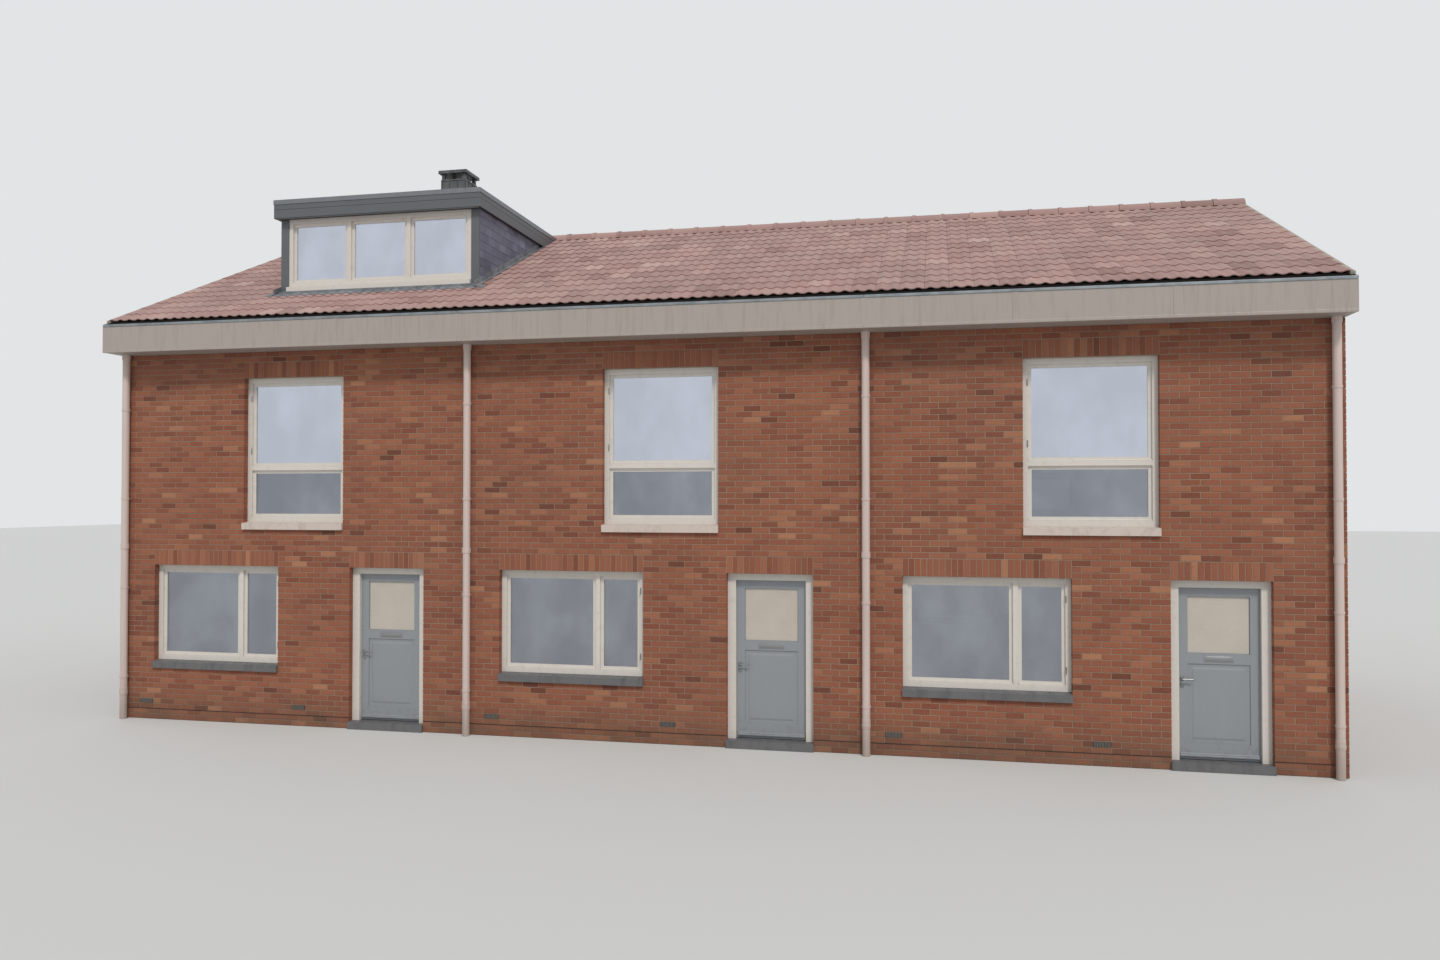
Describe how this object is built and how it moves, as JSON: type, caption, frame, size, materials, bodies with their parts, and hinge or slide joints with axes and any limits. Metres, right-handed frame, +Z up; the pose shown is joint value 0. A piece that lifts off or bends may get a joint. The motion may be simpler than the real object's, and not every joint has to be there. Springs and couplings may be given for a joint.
{
  "type": "row of terraced houses",
  "caption": "Two-storey brick terrace in equal bays under one tiled roof, with hinged front doors, tall upper windows, downpipes on the party lines and a flat-roofed dormer.",
  "frame": {"origin": "on the ground under the middle of the row, half way between the front and rear eaves", "axes": "+X along the row to the right as seen from the front, +Y from front to rear, +Z up"},
  "size_m": [16.42, 8.8, 8.4502],
  "materials": {
    "concrete_floor": "smooth screed",
    "brickwork": "matt clay brick with mortar joints",
    "roof_tiles": "matt weathered clay tiles",
    "eaves_paint": "painted boards, satin",
    "zinc": "weathered zinc",
    "downpipe_plastic": "matt pale grey",
    "frame_paint": "white satin paint on timber",
    "window_glass": "clear double glazing",
    "pale_sills": "white satin paint on timber",
    "dark_stone": "honed dark stone",
    "hinge_steel": "brushed",
    "door_paint": "grey satin paint",
    "slate_cladding": "blue-grey slates, matt",
    "flue_metal": "grey matt sheet"
  },
  "bodies": {
    "building": {"ground_floor": "concrete_floor", "upper_floor": "concrete_floor", "attic_floor": "concrete_floor", "end_wall_left": "brickwork", "party_wall_left": "brickwork", "party_wall_right": "brickwork", "end_wall_right": "brickwork", "front_wall_piers": "brickwork", "front_wall_aprons": "brickwork", "front_wall_band": "brickwork", "front_wall_upper": "brickwork", "front_wall_top": "brickwork", "rear_wall_piers": "brickwork", "rear_wall_aprons": "brickwork", "rear_wall_band": "brickwork", "rear_wall_upper": "brickwork", "rear_wall_top": "brickwork", "roof_front": "roof_tiles", "roof_at_dormer": "roof_tiles", "roof_rear": "roof_tiles", "ridge_tiles": "roof_tiles", "soffits": "eaves_paint", "fascias": "eaves_paint", "gutter_floors": "zinc", "downpipes_front": "downpipe_plastic", "downpipes_rear": "downpipe_plastic", "ground_window_frames": "frame_paint", "upper_window_frames": "frame_paint", "door_frames": "frame_paint", "dormer_frame": "frame_paint", "ground_window_glass": "window_glass", "upper_window_glass": "window_glass", "dormer_glass": "window_glass", "upper_window_sills": "pale_sills", "ground_window_sills": "dark_stone", "thresholds": "dark_stone", "door_hinges": "hinge_steel", "rear_doors": "door_paint", "dormer_cheeks": "slate_cladding", "dormer_roof": "slate_cladding", "flue": "flue_metal"},
    "left_front_door": {"door_left": "door_paint"},
    "middle_front_door": {"door_middle": "door_paint"},
    "right_front_door": {"door_right": "door_paint"}
  },
  "joints": [
    {"name": "door_left_hinge", "type": "hinge", "parent": "building", "child": "left_front_door", "pos_m": [-3.4625, -3.788, 0.108], "axis": [0, 0, -1], "range_deg": [0, 95]},
    {"name": "door_middle_hinge", "type": "hinge", "parent": "building", "child": "middle_front_door", "pos_m": [1.9375, -3.788, 0.108], "axis": [0, 0, -1], "range_deg": [0, 95]},
    {"name": "door_right_hinge", "type": "hinge", "parent": "building", "child": "right_front_door", "pos_m": [7.3375, -3.788, 0.108], "axis": [0, 0, -1], "range_deg": [0, 95]}
  ]
}
